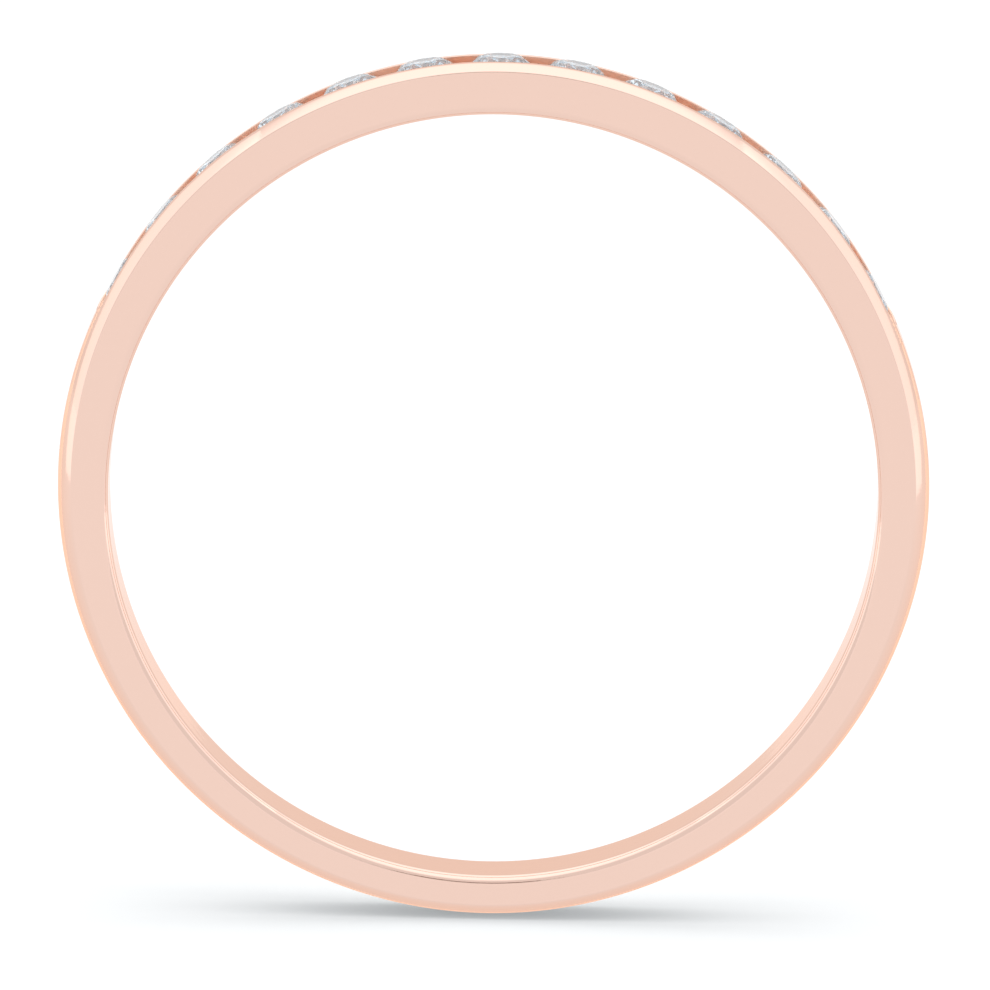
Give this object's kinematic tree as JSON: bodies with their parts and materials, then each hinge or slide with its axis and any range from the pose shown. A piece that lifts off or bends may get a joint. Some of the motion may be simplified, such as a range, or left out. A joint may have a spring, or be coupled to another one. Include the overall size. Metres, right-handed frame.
{
  "type": "wedding band",
  "caption": "Slim domed rose-gold band for a finger, its top half channel-set with a row of spaced round brilliants between two rails.",
  "frame": {"origin": "centre of the finger hole, halfway across the band's width", "axes": "+Y along the finger, through the hole; +Z towards the middle stone at the top of the band; +X to the right when the band is seen from its -Y side"},
  "size_m": [0.0196, 0.002, 0.0196],
  "materials": {
    "rose_gold": "high polish",
    "crystal": "clear, facet-cut"
  },
  "bodies": {
    "root": {"band": "rose_gold", "stone_01": "crystal", "stone_02": "crystal", "stone_03": "crystal", "stone_04": "crystal", "stone_05": "crystal", "stone_06": "crystal", "stone_07": "crystal", "stone_08": "crystal", "stone_09": "crystal", "stone_10": "crystal", "stone_11": "crystal", "stone_12": "crystal", "stone_13": "crystal"}
  },
  "joints": []
}
